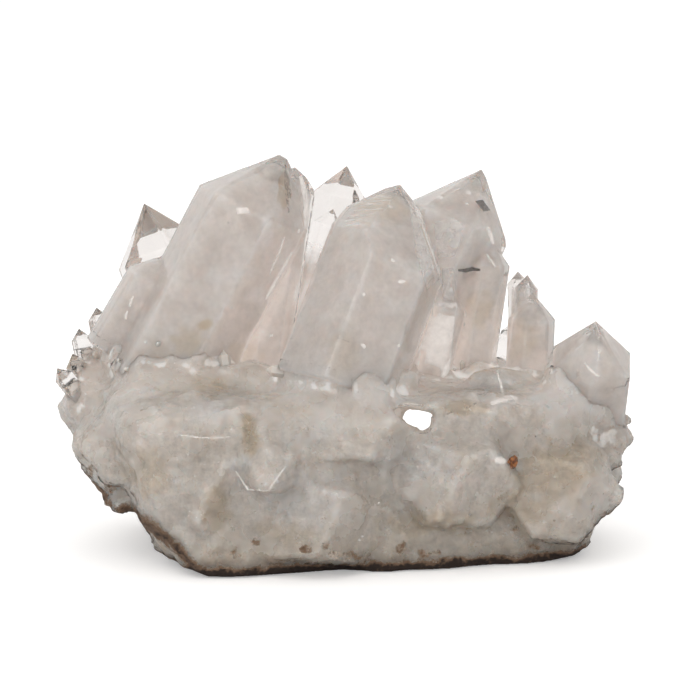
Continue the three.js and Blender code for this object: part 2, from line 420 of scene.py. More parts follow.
def breakBump(tree, shader, coords, setup):
    # a fine grain, and flat breaks where the setup has them, put on the shader's normal
    links = tree.links
    scale, height = setup["grain"]
    fine = addNode(tree, "ShaderNodeTexNoise", Scale=scale, Detail=2.0, Roughness=0.6)
    links.new(coords, fine.inputs["Vector"])
    both = addNode(tree, "ShaderNodeMath", {"operation": "MULTIPLY_ADD"})
    both.inputs[1].default_value = height
    both.inputs[2].default_value = 0.0
    links.new(fine.outputs["Fac"], both.inputs[0])
    if "breaks" in setup:
        scale, steepness = setup["breaks"]
        breaks = addNode(tree, "ShaderNodeGroup", {"node_tree": facets}, Scale=scale, Steepness=steepness)
        links.new(coords, breaks.inputs["Vector"])
        links.new(breaks.outputs["Height"], both.inputs[2])
    bump = addNode(tree, "ShaderNodeBump", Strength=1.0, Distance=1.0)
    links.new(both.outputs[0], bump.inputs["Height"])
    links.new(bump.outputs["Normal"], shader.inputs["Normal"])


def ownNoise(tree, coords, scale, detail, roughness=0.5):
    pattern = addNode(tree, "ShaderNodeTexNoise", Scale=scale, Detail=detail, Roughness=roughness)
    tree.links.new(coords, pattern.inputs["Vector"])
    return pattern.outputs["Fac"]


def rangeOf(tree, value, low, high, toLow, toHigh):
    node = addNode(tree, "ShaderNodeMapRange", From_Min=low, From_Max=high, To_Min=toLow, To_Max=toHigh)
    tree.links.new(value, node.inputs["Value"])
    return node.outputs[0]


def colourRamp(tree, value, *stops):
    node = addNode(tree, "ShaderNodeValToRGB")
    marks = node.color_ramp.elements
    marks[0].position, marks[0].color = stops[0]
    marks[1].position, marks[1].color = stops[-1]
    for place, colour in stops[1:-1]:
        marks.new(place).color = colour
    tree.links.new(value, node.inputs["Fac"])
    return node.outputs["Color"]


def maskNode(tree, name):
    return addNode(tree, "ShaderNodeAttribute", {"attribute_name": name}).outputs["Fac"]


quartzIor = 1.544
milkRadius = (1.0, 0.8, 0.7)             # how far each colour scatters in the milk, as shares
skinPatches = 180.0                      # scale of the duller patches on every skin
clearQuartz = {
    "colour": (0.97, 0.95, 0.94, 1),
    "transmission": 1.0,
    "absorbColour": (0.93, 0.87, 0.83, 1),
    "absorbDensity": 8.0,
    "rough": (0.02, 0.12),
    "grain": (300.0, 0.02 * mm),         # scale and height
}
milkyQuartz = {
    "colour": (0.96, 0.93, 0.91, 1),
    "transmission": 0.92,
    "absorbColour": (0.93, 0.86, 0.82, 1),
    "absorbDensity": 10.0,
    "rough": (0.03, 0.16),
    "grain": (350.0, 0.03 * mm),
}


def quartzSkin(name, setup):
    material, tree, shader = newMaterial(name)
    links = tree.links
    shader.inputs["Base Color"].default_value = setup["colour"]
    shader.inputs["Transmission Weight"].default_value = setup["transmission"]
    shader.inputs["IOR"].default_value = quartzIor
    coords = addNode(tree, "ShaderNodeTexCoord").outputs["Object"]
    patches = ownNoise(tree, coords, skinPatches, 4.0)
    links.new(rangeOf(tree, patches, 0.35, 0.7, *setup["rough"]), shader.inputs["Roughness"])
    breakBump(tree, shader, coords, setup)
    absorb = addNode(tree, "ShaderNodeVolumeAbsorption", Color=setup["absorbColour"],
                     Density=setup["absorbDensity"])
    links.new(absorb.outputs[0], tree.nodes["Material Output"].inputs["Volume"])
    return material


crystalMilk = {
    "deep": (0.76, 0.71, 0.672, 1),
    "pale": (0.90, 0.862, 0.835, 1),
    "scatter": 10 * mm,
    "wisps": 140.0,
    "speckle": (500.0, 0.10),    # scale and depth of the fine mottle
    "paintedGlow": (0.33, 0.298, 0.28), # no grain: its skin is smooth, and its own bump wouldn't show
}
matrixMilk = {
    "deep": (0.75, 0.69, 0.62, 1),
    "pale": (0.92, 0.885, 0.85, 1),
    "scatter": 4 * mm,
    "wisps": 110.0,
    "speckle": (650.0, 0.22),
    "paintedGlow": (0.26, 0.235, 0.215),
    "breaks": (260.0, 0.3),
    "grain": (1100.0, 0.25 * mm),
}
# tones laid over the milk where a mask says: where the two meet, and the stains
milkTones = {
    "root": (0.76, 0.71, 0.67, 1),
    "golden": (0.66, 0.55, 0.40, 1),
    "pale": (0.88, 0.86, 0.85, 1),
    "stain": (0.42, 0.28, 0.17, 1),
}


def cloudMaterial(name, setup):
    material, tree, shader = newMaterial(name)
    links = tree.links
    coords = addNode(tree, "ShaderNodeTexCoord").outputs["Object"]
    wisps = ownNoise(tree, coords, setup["wisps"], 3.0, 0.6)
    colour = colourRamp(tree, wisps, (0.3, setup["deep"]), (0.7, setup["pale"]))
    for mask, tone in milkTones.items():
        mix = addNode(tree, "ShaderNodeMix", {"data_type": "RGBA"})
        sockets = [k for k in mix.inputs if k.enabled]
        links.new(maskNode(tree, mask), sockets[0])
        links.new(colour, sockets[1])
        sockets[2].default_value = tone
        colour = [k for k in mix.outputs if k.enabled][0]
    # a fine mottle, fainter where it's calm
    scale, depth = setup["speckle"]
    shade = addNode(tree, "ShaderNodeMapRange", From_Min=0.32, From_Max=0.68, To_Max=1.06)
    links.new(rangeOf(tree, maskNode(tree, "calm"), 0.0, 1.0, 1 - depth, 0.97), shade.inputs["To Min"])
    links.new(ownNoise(tree, coords, scale, 3.0, 0.75), shade.inputs["Value"])
    grainy = addNode(tree, "ShaderNodeVectorMath", {"operation": "SCALE"})
    links.new(colour, grainy.inputs[0])
    links.new(shade.outputs[0], grainy.inputs["Scale"])
    links.new(grainy.outputs["Vector"], shader.inputs["Base Color"])
    shader.inputs["Subsurface Weight"].default_value = 1.0
    shader.inputs["Subsurface Radius"].default_value = milkRadius
    shader.inputs["Subsurface Scale"].default_value = setup["scatter"]
    shader.inputs["Roughness"].default_value = 0.8
    shader.inputs["Specular IOR Level"].default_value = 0.0
    # painted glow: the milk gives off light of its own on the faces that see little of the room, in place
    # of light that would come through the quartz
    lit = addNode(tree, "ShaderNodeMapRange", {"data_type": "FLOAT_VECTOR"})
    fromLow, fromHigh, toLow, toHigh = [k for k in lit.inputs if k.enabled][1:5]
    fromLow.default_value = (0.3, 0.3, 0.3)
    fromHigh.default_value = (1.0, 1.0, 1.0)
    toLow.default_value = (0.0, 0.0, 0.0)
    toHigh.default_value = setup["paintedGlow"]
    links.new(maskNode(tree, "paintedGlow"), lit.inputs["Vector"])
    links.new(lit.outputs["Vector"], shader.inputs["Emission Color"])
    shader.inputs["Emission Strength"].default_value = 1.0
    # wisps eat into the cloud where its mask fades
    solid = addNode(tree, "ShaderNodeMath", {"operation": "MULTIPLY_ADD"})
    solid.inputs[1].default_value = 1.6
    links.new(maskNode(tree, "cloud"), solid.inputs[0])
    links.new(rangeOf(tree, wisps, 0.3, 0.7, -0.5, 0.0), solid.inputs[2])
    clamp = addNode(tree, "ShaderNodeClamp")
    links.new(solid.outputs[0], clamp.inputs["Value"])
    links.new(clamp.outputs[0], shader.inputs["Alpha"])
    if "grain" in setup:
        breakBump(tree, shader, coords, setup)
    return material


matrixQuartz = {
    "colour": (0.93, 0.90, 0.87, 1),
    "transmission": 0.92,
    "absorbColour": (0.90, 0.84, 0.78, 1),
    "absorbDensity": 10.0,
    "rough": (0.12, 0.42),
    "breaks": (420.0, 0.24),             # scale and steepness
    "grain": (1300.0, 0.12 * mm),
}


def scatterTree():
    # small shapes spread over a surface where its "spread" attribute allows
    tree = bpy.data.node_groups.new("scatterOnSurface", "GeometryNodeTree")
    tree.is_modifier = True
    face = tree.interface
    face.new_socket("Pieces", in_out="OUTPUT", socket_type="NodeSocketGeometry")
    for name, kind in (("Surface", "Geometry"), ("Shape", "Object"), ("Density", "Float"),
                       ("Smallest", "Float"), ("Largest", "Float"), ("Depth", "Float"),
                       ("Lean", "Float"), ("Seed", "Int"), ("Finish", "Material")):
        face.new_socket(name, in_out="INPUT", socket_type="NodeSocket" + kind)
    links = tree.links
    given = tree.nodes.new("NodeGroupInput").outputs
    allowed = addNode(tree, "GeometryNodeInputNamedAttribute", {"data_type": "FLOAT"}, Name="spread")
    density = addNode(tree, "ShaderNodeMath", {"operation": "MULTIPLY"})
    links.new(given["Density"], density.inputs[0])
    links.new(allowed.outputs["Attribute"], density.inputs[1])
    spots = tree.nodes.new("GeometryNodeDistributePointsOnFaces")
    links.new(given["Surface"], spots.inputs["Mesh"])
    links.new(density.outputs[0], spots.inputs["Density"])
    links.new(given["Seed"], spots.inputs["Seed"])

    def negative(value):
        node = addNode(tree, "ShaderNodeMath", {"operation": "MULTIPLY"})
        node.inputs[1].default_value = -1.0
        links.new(value, node.inputs[0])
        return node.outputs[0]

    inward = addNode(tree, "ShaderNodeVectorMath", {"operation": "SCALE"})
    links.new(spots.outputs["Normal"], inward.inputs[0])
    links.new(negative(given["Depth"]), inward.inputs["Scale"])
    sink = tree.nodes.new("GeometryNodeSetPosition")
    links.new(spots.outputs["Points"], sink.inputs["Geometry"])
    links.new(inward.outputs["Vector"], sink.inputs["Offset"])
    tilt = addNode(tree, "FunctionNodeRandomValue", {"data_type": "FLOAT_VECTOR"})
    links.new(negative(given["Lean"]), tilt.inputs[0])
    links.new(given["Lean"], tilt.inputs[1])
    links.new(given["Seed"], tilt.inputs["Seed"])
    turned = tree.nodes.new("FunctionNodeEulerToRotation")
    links.new(tilt.outputs[0], turned.inputs[0])
    aim = addNode(tree, "FunctionNodeRotateRotation", {"rotation_space": "LOCAL"})
    links.new(spots.outputs["Rotation"], aim.inputs["Rotation"])
    links.new(turned.outputs[0], aim.inputs["Rotate By"])
    size = addNode(tree, "FunctionNodeRandomValue", {"data_type": "FLOAT"})
    floats = [k for k in size.inputs if k.enabled]
    links.new(given["Smallest"], floats[0])
    links.new(given["Largest"], floats[1])
    links.new(given["Seed"], size.inputs["Seed"])
    shape = addNode(tree, "GeometryNodeObjectInfo", {"transform_space": "ORIGINAL"})
    links.new(given["Shape"], shape.inputs["Object"])
    copies = tree.nodes.new("GeometryNodeInstanceOnPoints")
    links.new(sink.outputs[0], copies.inputs["Points"])
    links.new(shape.outputs["Geometry"], copies.inputs["Instance"])
    links.new(aim.outputs[0], copies.inputs["Rotation"])
    links.new([k for k in size.outputs if k.enabled][0], copies.inputs["Scale"])
    real = tree.nodes.new("GeometryNodeRealizeInstances")
    links.new(copies.outputs[0], real.inputs[0])
    finish = tree.nodes.new("GeometryNodeSetMaterial")
    links.new(real.outputs[0], finish.inputs["Geometry"])
    links.new(given["Finish"], finish.inputs["Material"])
    out = tree.nodes.new("NodeGroupOutput")
    links.new(finish.outputs[0], out.inputs[0])
    return tree


def scatter(name, surface, spread, shape, tree, material, slot, setup):
    # the shapes alone, as one plain mesh
    base = surface.copy()
    writeMask(base, "spread", spread)
    piece = addObject(name, base)
    modifier = piece.modifiers.new("scatter", "NODES")
    modifier.node_group = tree
    keys = {k.name: k.identifier for k in tree.interface.items_tree if k.in_out == "INPUT"}
    modifier[keys["Shape"]] = shape
    modifier[keys["Finish"]] = material
    for key, value in setup.items():
        modifier[keys[key]] = value
    bake(piece)
    finishPiece(piece, material, slot)
    piece.data.shade_flat()


def finishPiece(piece, material, slot, *nodes):
    piece.data.materials.clear()
    piece.data.materials.append(material)
    piece.data.shade_smooth()
    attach(piece, "root")
    if nodes:
        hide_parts(*nodes)
    return piece


makeCamera(cameraSetup)
makeStudio()
print("stage ready")

facets = facetGroup()
skins = {"clear_quartz": quartzSkin("clearQuartz", clearQuartz),
         "milky_quartz": quartzSkin("milkyQuartz", milkyQuartz)}
crystalCloud = cloudMaterial("crystalCloud", crystalMilk)
matrixCloud = cloudMaterial("matrixCloud", matrixMilk)
cadMatrix = frame["nodes"]["matrix"]
cadCrystals = [frame["nodes"][node] for node in crystalNodes]
matrixTree = treeOf(cadMatrix)
crystalTree = treeOf(*cadCrystals)
allTree = treeOf(cadMatrix, *cadCrystals)


# crystals
crystalSetup = {
    "depth": (6, 7),             # remesh steps of a short crystal and of a long one
    "long": 30 * mm,
    "waves": 0.06 * mm,          # faint unevenness of the faces, and its size
    "waveSize": 5 * mm,
    "steps": 0.02 * mm,          # growth lines across the sides, with their height and width
    "stepHeight": 0.9 * mm,
    "stepWidth": 7 * mm,
}


def makeSkin(node):
    piece = addObject(node + "_skin", toMesh(mergedShape(node), node))
    low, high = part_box(node)
    sharpRemesh(piece, crystalSetup["depth"][max(high - low) > crystalSetup["long"]])
    smooth(piece, 2)
    axis = axisOf(node)
    points = readPoints(piece.data)
    normals = readNormals(piece.data)
    side = 1 - np.abs(normals @ axis)
    lift = crystalSetup["waves"] * noiseAt(points, crystalSetup["waveSize"], 1)
    tall, wide = crystalSetup["stepHeight"], crystalSetup["stepWidth"]
    steps = np.array([noise.noise(Vector((a / tall, p[0] / wide, p[1] / wide)))
                      for a, p in zip(points @ axis, points)])
    lift += crystalSetup["steps"] * steps * ramp(side, 0.5, 0.9)
    writePoints(piece.data, points + normals * lift[:, None])
    return finishPiece(piece, skins[slotOf[node]], slotOf[node], node)


cloudSetup = {
    "voxel": 0.7 * mm,
    "small": 14 * mm,            # a crystal below this size has a finer, shallower cloud
    "smallShare": 0.4,
    "foot": 0.08 * mm,           # depth of the cloud under a crystal's faces, at the matrix
    "body": 0.6 * mm,
    "tip": 1.7 * mm,
    "patchy": 0.8 * mm,
}
# each cloud clears between two shares of the crystal's height, and some is left at the tip
usualFade = (0.25, 0.6, 0.0)
cloudFade = {
    "main_left_crystal": (0.80, 1.0, 0.55),
    "centre_crystal": (0.82, 1.0, 0.5),
    "right_crystal": (0.80, 1.0, 0.45),
    "back_left_crystal": (0.35, 0.65, 0.0),
    "back_centre_crystal": (0.40, 0.70, 0.05),
    "far_right_crystal": (0.75, 1.0, 0.4),
    "right_shoulder_crystal": (0.5, 1.0, 0.15),
}

# soft stains and veils in the crystals as seen from the front:
# x and z in mm, half width and height, strength
crystalStains = [
    (-32.8, 53.8, 2.6, 1.5, 0.9), (-37.0, 49.5, 5.0, 3.5, 0.55), (-24.0, 46.0, 5.0, 4.0, 0.4),
    (-13.0, 86.0, 1.4, 6.0, 0.7), (34.0, 57.0, 4.0, 5.0, 0.5), (-44.0, 45.0, 5.0, 5.0, 0.35),
    (44.0, 50.0, 4.0, 6.0, 0.35), (0.5, 47.0, 5.0, 7.0, 0.25), (10.0, 83.0, 8.0, 5.0, 0.4),
]
crystalVeils = [
    (-17.4, 77.0, 2.0, 6.5, 0.9), (-12.5, 68.0, 2.4, 7.0, 0.8), (-24.5, 66.0, 7.0, 3.0, 0.5),
    (-20.0, 60.5, 3.0, 2.5, 0.8), (-31.0, 65.0, 2.5, 2.5, 0.6), (21.0, 72.0, 3.0, 10.0, 0.7),
    (27.5, 76.0, 3.0, 3.5, 0.8), (25.0, 62.0, 2.5, 6.0, 0.8), (36.5, 74.0, 2.5, 3.5, 0.6),
    (3.0, 62.0, 3.0, 5.0, 0.5), (14.0, 58.0, 6.0, 2.5, 0.4), (-6.5, 80.0, 2.0, 6.0, 0.6),
    (60.0, 45.0, 4.0, 5.0, 0.6), (6.0, 78.0, 7.0, 4.0, 0.3),
]


def makeCloud(node):
    start, end, left = cloudFade.get(node, usualFade)
    piece = addObject(node + "_cloud", toMesh(mergedShape(node), node))
    low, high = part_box(node)
    share = cloudSetup["smallShare"] if max(high - low) < cloudSetup["small"] else 1
    voxelRemesh(piece, cloudSetup["voxel"] * share)
    axis = axisOf(node)
    points = readPoints(piece.data)
    normals = readNormals(piece.data)
    along = points @ axis
    rise = (along - along.min()) / (along.max() - along.min())
    clear, facing = distances(matrixTree, points, 12 * mm)
    above = ramp(clear, 2 * mm, 9 * mm)
    inset = cloudSetup["foot"] + (cloudSetup["body"] - cloudSetup["foot"]) * above
    inset += (cloudSetup["tip"] - cloudSetup["body"]) * ramp(rise, 0.5, 1.0)
    inset += cloudSetup["patchy"] * ramp(noiseAt(points, 6 * mm, 21), 0, 0.7) * above
    writePoints(piece.data, points - normals * inset[:, None] * share)
    smooth(piece, 5)
    writeMask(piece.data, "cloud", 1 - (1 - left) * ramp(rise, start, end))
    writeMask(piece.data, "root", 1 - ramp(clear, 0, 10 * mm))
    # painted glow, strongest where the cloud sees little of the room
    writeMask(piece.data, "paintedGlow", shelter(points, normals, allTree))
    seen = seenAs(points)
    front = ramp(-normals[:, 1], -0.2, 0.2)
    writeMask(piece.data, "golden", blots(seen, crystalStains, 87) * front)
    writeMask(piece.data, "pale", blots(seen, crystalVeils, 89) * front)
    return finishPiece(piece, crystalCloud, slotOf[node])


skinOf = {}
cloudOf = {}
for node in crystalNodes:
    skinOf[node] = makeSkin(node)
    cloudOf[node] = makeCloud(node)
print("crystals ready")


# matrix, with its stains as seen from the front: x and z in mm, half width and height, strength
goldenSpots = [
    (-22.4, 27.0, 2.3, 6.4, 1.0), (-31.5, 38.5, 5.5, 3.2, 0.7), (-30.5, 8.0, 4.0, 7.0, 0.7),
    (-47.0, 17.0, 6.0, 7.0, 0.55), (52.0, 17.0, 9.5, 8.5, 0.8), (44.0, 8.0, 8.0, 6.0, 0.7),
    (22.0, 4.0, 14.0, 3.5, 0.7), (30.5, 33.5, 6.5, 2.0, 0.8), (60.0, 22.0, 5.0, 5.0, 0.6),
    (-14.0, 1.5, 9.0, 3.5, 0.5), (34.0, 44.0, 4.0, 4.0, 0.4),
]
paleSpots = [
    (-32.5, 33.0, 6.0, 5.0, 0.8), (-8.0, 11.0, 12.0, 8.0, 0.7), (18.0, 20.0, 12.0, 8.0, 0.6),
    (39.0, 20.0, 4.0, 2.4, 0.9), (-25.5, 19.0, 3.0, 3.0, 0.9), (-56.0, 32.0, 6.0, 7.0, 0.5),
    (40.5, 35.0, 4.5, 1.5, 0.9), (56.0, 36.0, 10.0, 7.0, 0.9), (-4.0, 30.0, 6.0, 6.0, 0.5),
    (12.0, 37.0, 9.0, 5.0, 0.8), (-12.0, 40.0, 10.0, 5.0, 0.8), (36.0, 41.0, 9.0, 5.0, 0.8),
]
leftRim = [(-63.4, 15.5), (-58.6, 11.4), (-51.3, 6.9), (-42.7, 0.8), (-37.9, -4.6), (-34.2, -8.3)]
brownSpots = [
    (-25.7, -3.6, 2.0, 1.8, 0.9), (-20.8, -0.2, 1.4, 1.4, 0.8), (-8.7, -2.0, 1.8, 1.5, 1.0),
    (-3.8, -1.2, 1.6, 1.2, 0.7), (-61.5, 17.5, 1.4, 2.0, 0.8), (-56.5, 13.5, 2.2, 2.2, 0.7),
    (15.0, -1.6, 1.6, 2.6, 0.9), (21.0, -3.0, 4.0, 1.6, 0.8), (47.5, -1.4, 2.0, 1.2, 0.8),
    (43.0, 3.0, 3.0, 1.2, 0.6), (2.0, -3.6, 6.0, 1.6, 0.8), (62.0, 9.0, 1.2, 2.0, 0.6),
]

matrixSetup = {
    "voxel": 0.75 * mm,
    "plugAbove": 2.5 * mm,       # how far each root stands up inside its crystal
    "filletReach": 3.0 * mm,     # the matrix climbs about this far up the crystals' feet
    "filletTurns": 24,
    "browTurns": 70,             # rounds off the front edge under the crystals
    "gapAt": 17 * mm,            # but not round the gap under the centre crystal
    "sinkDepth": 2.5 * mm,
    "cloudVoxel": 1.0 * mm,
    "cloudDepth": (0.08 * mm, 0.9 * mm),     # near a crystal, and away from it
    "ledgePaintedGlow": 0.3,           # painted glow added to the milk at the crystals' feet
    "facets": [(9.0, 0.05, 3), (4.0, 0.07, 5), (2.2, 0.08, 7)],      # size in mm, steepness, seed
    "grain": [(3.0, 0.16, 11), (1.3, 0.08, 13)],                     # size and height in mm, seed
}

# lumps of massive quartz round the crystals' feet: centre and radii in mm
rootLumps = [
    ((-8, -19, 43), (9, 7, 7)),
    ((4, -22, 39), (10, 7, 6)),
    ((14, -18, 42), (6, 5, 5)),
    ((-22, -14, 42), (9, 8, 6)),
    ((-34, -8, 46), (10, 8, 9)),
    ((-46, -2, 47), (7, 6, 9)),
    ((52, -18, 34), (9, 7, 8)),
    ((38, -4, 40), (10, 7, 5)),
    ((-30, -30, 36), (13, 9, 6)),
    ((-12, -31, 36), (11, 9, 6)),
    ((4, -31, 35), (9, 9, 6)),
    ((-48, -22, 37), (9, 8, 6)),
    ((-48, -15, 18), (11, 9, 9)),
    ((50, -12, 9), (13, 14, 12)),
    ((61, -8, 24), (8.5, 9, 8)),
]

collarSetup = {
    "corners": 16,
    "perCrystal": 16,            # lumps round a crystal 20 mm thick
    "radius": (2.2, 4.6),        # mm, on a crystal 16 mm thick or more
    "seed": 41,
}


def addPlug(bm, node):
    # the root of a crystal, cut square just above the place where it leaves the matrix
    points = readPoints(skinOf[node].data)[::4]
    axis = axisOf(node)
    far, facing = distances(matrixTree, points, 0.6 * mm)
    seated = points[far < 0.55 * mm] @ axis
    if not len(seated):
        return
    top = np.percentile(seated, 99) + matrixSetup["plugAbove"]
    plug = mergedShape(node)
    geometry = plug.verts[:] + plug.edges[:] + plug.faces[:]
    bmesh.ops.bisect_plane(plug, geom=geometry, plane_co=Vector(axis) * top, plane_no=Vector(axis),
                           clear_outer=True)
    bmesh.ops.holes_fill(plug, edges=[e for e in plug.edges if e.is_boundary])
    moveInto(bm, toMesh(plug, "plug"))


def addLump(bm, centre, radii, dice):
    # one rounded lump with uneven corners, cut off at the floor
    size = Matrix.Diagonal((*[r * mm for r in radii], 1))
    place = Matrix.Translation([c * mm for c in centre]) @ size
    made = bmesh.ops.create_icosphere(bm, subdivisions=1, radius=1, matrix=place)
    for vert in made["verts"]:
        vert.co += Vector(dice.uniform(-0.2, 0.2, 3) * radii) * mm
        vert.co.z = max(vert.co.z, 0.1 * mm)


def addStone(bm, centre, radius, dice):
    # one angular lump: the hull of a few random points on a ball
    stone = bmesh.new()
    for k in range(collarSetup["corners"]):
        out = Vector((dice.normal(), dice.normal(), dice.normal())).normalized()
        stone.verts.new(centre + out * radius * dice.uniform(0.75, 1.15))
    hull = bmesh.ops.convex_hull(stone, input=stone.verts)
    bmesh.ops.delete(stone, geom=list(set(hull["geom_interior"])), context="VERTS")
    moveInto(bm, outwardMesh(stone, "stone"))


def addCollar(bm, node, dice):
    # angular lumps round the place where a crystal leaves the matrix
    points = readPoints(skinOf[node].data)[::3]
    normals = readNormals(skinOf[node].data)[::3]
    far, facing = distances(matrixTree, points, 3 * mm)
    rim = np.nonzero((far > 0.6 * mm) & (far < 2.2 * mm))[0]
    if not len(rim):
        return
    low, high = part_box(node)
    thick = min(high.x - low.x, high.y - low.y)
    count = int(round(collarSetup["perCrystal"] * thick / (20 * mm))) + 3
    for k in dice.choice(rim, count):
        radius = dice.uniform(*collarSetup["radius"]) * min(1.0, thick / (16 * mm)) * mm
        addStone(bm, Vector(points[k]) - Vector(normals[k]) * radius * 0.35, radius, dice)


def relaxed(points, edges, weight, turns):
    # each point moves towards the middle of its neighbours, by its own weight
    first, second = edges[:, 0], edges[:, 1]
    count = np.bincount(edges.ravel(), minlength=len(points))[:, None]
    for turn in range(turns):
        total = np.zeros_like(points)
        for k in range(3):
            total[:, k] = (np.bincount(first, points[second, k], len(points))
                           + np.bincount(second, points[first, k], len(points)))
        points = points + (total / count - points) * weight[:, None]
    return points


def facetLift(points, size, steepness, seed):
    # flat breaks: every cell of a random pattern is a plane with its own tilt
    lift = np.zeros(len(points))
    shift = Vector((seed * 1.7, seed * 2.9, seed * 0.7))
    for i, p in enumerate(points):
        q = Vector(p) / size + shift
        near, cells = noise.voronoi(q)
        tilt = noise.cell_vector(cells[0] * 57.0) * 2 - Vector((1, 1, 1))
        lift[i] = (q - cells[0]).dot(tilt) * min(1.0, (near[1] - near[0]) / 0.15)
    return lift * size * steepness * 2


def calmNear(points):
    # 1 near the crystals' feet, where the matrix is as smooth as they are
    far, facing = distances(crystalTree, points, 16 * mm)
    return (1 - ramp(far, 5 * mm, 15 * mm)) * ramp(points[:, 2], 28 * mm, 36 * mm)


def makeMatrixCloud(skin):
    piece = addObject("matrix_cloud", skin.data.copy())
    voxelRemesh(piece, matrixSetup["cloudVoxel"])
    points = readPoints(piece.data)
    far, facing = distances(crystalTree, points, 8 * mm)
    shallow, deep = matrixSetup["cloudDepth"]
    depth = shallow + (deep - shallow) * ramp(far, 1 * mm, 5 * mm)
    writePoints(piece.data, points - readNormals(piece.data) * depth[:, None])
    smooth(piece, 3)
    writeMask(piece.data, "cloud", np.ones(len(piece.data.vertices)))
    writeMask(piece.data, "root", 1 - ramp(far, 0, 8 * mm))
    height = points[:, 2] + noiseAt(points, 7 * mm, 31) * 3 * mm
    normals = readNormals(piece.data)
    # painted glow where the matrix sees little of the room, and more along the crystals' feet
    paintedGlow = shelter(points, normals, allTree) * 0.6
    wide, facing = distances(crystalTree, points, 16 * mm)
    ledge = (1 - ramp(wide, 2 * mm, 14 * mm)) * ramp(points[:, 2], 26 * mm, 36 * mm)
    writeMask(piece.data, "paintedGlow", np.minimum(1, paintedGlow + matrixSetup["ledgePaintedGlow"] * ledge))
    seen = seenAs(points)
    front = ramp(-normals[:, 1], -0.2, 0.2)
    elsewhere = 0.6 * (1 - front) * ramp(noiseAt(points, 14 * mm, 71), 0.0, 0.4)
    golden = np.maximum(blots(seen, goldenSpots, 81) * front, elsewhere)
    writeMask(piece.data, "golden", np.maximum(golden, 0.5 * (1 - ramp(height, 2 * mm, 14 * mm))))
    writeMask(piece.data, "pale", blots(seen, paleSpots, 83) * front)
    writeMask(piece.data, "calm", calmNear(points))
    writeMask(piece.data, "stain", 0.8 * (1 - ramp(height, 0.5 * mm, 4.5 * mm)))
    return finishPiece(piece, matrixCloud, "matrix")


# tones of the dark shell: painted shade and brown stains alike
shadeStainSetup = {
    "tones": [(0.0, (0.46, 0.37, 0.29, 1)), (0.5, (0.20, 0.125, 0.08, 1)), (1.0, (0.022, 0.012, 0.008, 1))],
    "blotches": 900.0,
    "roughness": 0.9,
    "breaks": (500.0, 0.4),
    "grain": (1500.0, 0.2 * mm),
    "barest": 0.12,              # no shell where the mask is below this
    "above": 0.14 * mm,          # its outer face over the matrix, and its thickness
    "thickness": 0.08 * mm,
}


def shadeStainMaterial():
    material, tree, shader = newMaterial("rootShadeAndStain")
    links = tree.links
    coords = addNode(tree, "ShaderNodeTexCoord").outputs["Object"]
    blotches = ownNoise(tree, coords, shadeStainSetup["blotches"], 4.0, 0.75)
    thick = addNode(tree, "ShaderNodeMath", {"operation": "MULTIPLY_ADD"})
    thick.inputs[1].default_value = 1.7
    links.new(maskNode(tree, "shadeAndStain"), thick.inputs[0])
    links.new(rangeOf(tree, blotches, 0.3, 0.7, -0.95, -0.15), thick.inputs[2])
    links.new(colourRamp(tree, thick.outputs[0], *shadeStainSetup["tones"]), shader.inputs["Base Color"])
    links.new(rangeOf(tree, thick.outputs[0], 0.05, 0.6, 0.0, 0.95), shader.inputs["Alpha"])
    shader.inputs["Roughness"].default_value = shadeStainSetup["roughness"]
    breakBump(tree, shader, coords, shadeStainSetup)
    return material


def makeShadeAndStain(skin):
    # a thin dark shell over the matrix: painted shade on its foot, its overhangs and its left underside,
    # and brown stains in spots
    points = readPoints(skin.data)
    normals = readNormals(skin.data)
    uneven = noiseAt(points, 5 * mm, 91)
    seen = seenAs(points)
    facing = ramp(-normals[:, 1], 0.1, 0.5)
    # painted shade on the faces turned downwards, low on the matrix
    under = ramp(-normals[:, 2] + 0.25 * uneven, 0.25, 0.7) * (1 - ramp(points[:, 2], 20 * mm, 34 * mm))
    under *= (1 - facing) * ramp(points[:, 1], -34 * mm, -26 * mm)
    speckle = noiseAt(points, 1.6 * mm, 93)
    # painted shade along the very foot
    foot = 1 - ramp(points[:, 2] + (0.9 * uneven + 0.9 * speckle) * mm, 1.1 * mm, 4.0 * mm)
    # painted shade along the left underside
    rim = 1 - ramp(gapTo(leftRim, seen) + 0.8 * uneven + 0.8 * speckle, 0.2, 2.6)
    rim *= 1 - ramp(normals[:, 2], 0.2, 0.6)
    spots = blots(seen, brownSpots, 85) * facing
    shadeAndStain = np.clip(np.maximum.reduce([under, foot, 0.8 * rim, spots * (0.62 + 0.4 * speckle)]), 0, 1)
    shadeAndStain[points[:, 2] < 0.2 * mm] *= 0.8
    mesh = skin.data.copy()
    writeMask(mesh, "shadeAndStain", shadeAndStain)
    bm = bmesh.new()
    moveInto(bm, mesh)
    layer = bm.verts.layers.float["shadeAndStain"]
    bare = [f for f in bm.faces if max(v[layer] for v in f.verts) < shadeStainSetup["barest"]]
    bmesh.ops.delete(bm, geom=bare, context="FACES")
    bm.normal_update()
    for vert in bm.verts:
        vert.co += vert.normal * shadeStainSetup["above"]
        vert.co.z = max(vert.co.z, 0.0)
    bmesh.ops.solidify(bm, geom=bm.faces[:], thickness=shadeStainSetup["thickness"])
    piece = addObject("matrix_crust", outwardMesh(bm, "matrix_crust"))
    return finishPiece(piece, shadeStainMaterial(), "matrix")


